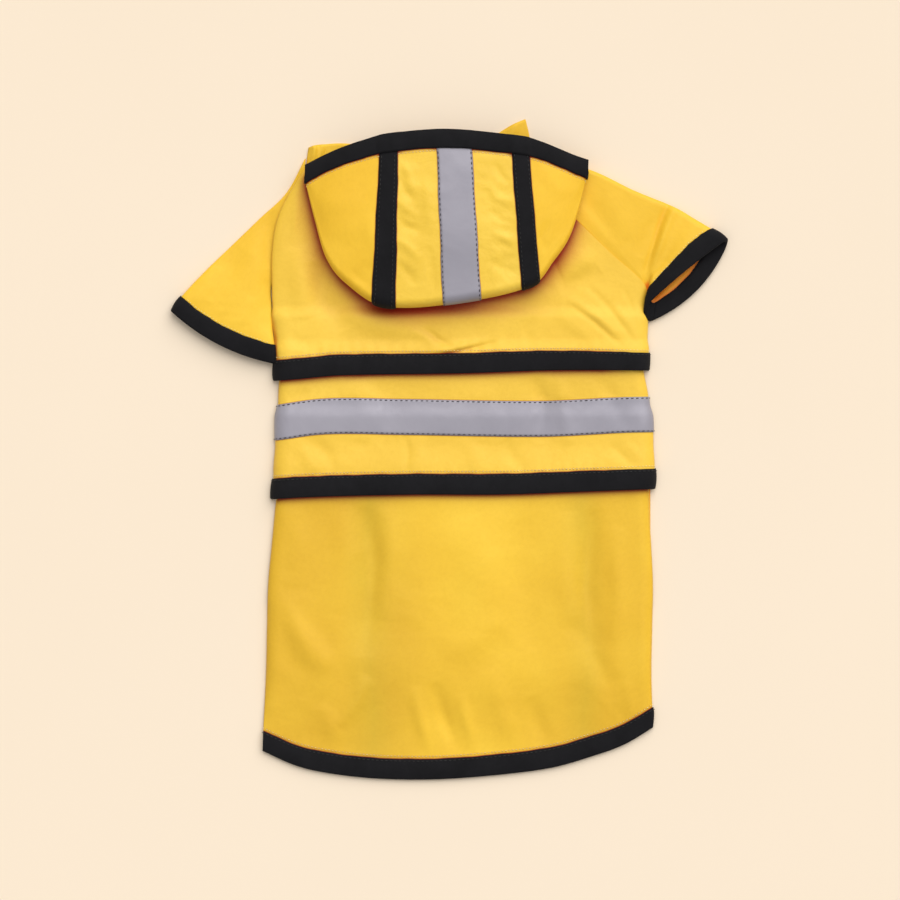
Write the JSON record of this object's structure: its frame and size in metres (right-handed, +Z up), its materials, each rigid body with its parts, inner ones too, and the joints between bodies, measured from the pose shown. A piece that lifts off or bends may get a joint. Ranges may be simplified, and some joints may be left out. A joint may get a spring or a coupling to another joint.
{
  "type": "dog raincoat",
  "caption": "Hooded dog raincoat with short raglan sleeves and a tiered back, bound edges and reflective tapes, laid flat back up with the hood folded down.",
  "frame": {"origin": "centre of the bounding box at the underside, on the surface the coat lies on", "axes": "+Z up out of the coat's back, +Y from the hem towards the neck, +X across the back towards the dog's right side"},
  "size_m": [0.3071, 0.3639, 0.022],
  "materials": {
    "shell": "coated, soft sheen",
    "binding": "woven, matt",
    "reflective": "satin, retroreflective"
  },
  "bodies": {
    "root": {"yoke": "shell", "yoke_binding": "binding", "middle_tier": "shell", "middle_tier_binding": "binding", "middle_tier_tape": "reflective", "skirt": "shell", "hem_binding": "binding", "front_left": "shell", "front_right": "shell", "sleeve_left": "shell", "cuff_left_binding": "binding", "sleeve_right": "shell", "cuff_right_binding": "binding", "hood_side_left": "shell", "hood_centre": "shell", "hood_side_right": "shell", "hood_band_left": "binding", "hood_band_right": "binding", "hood_tape": "reflective", "hood_rim_binding": "binding"}
  },
  "joints": []
}
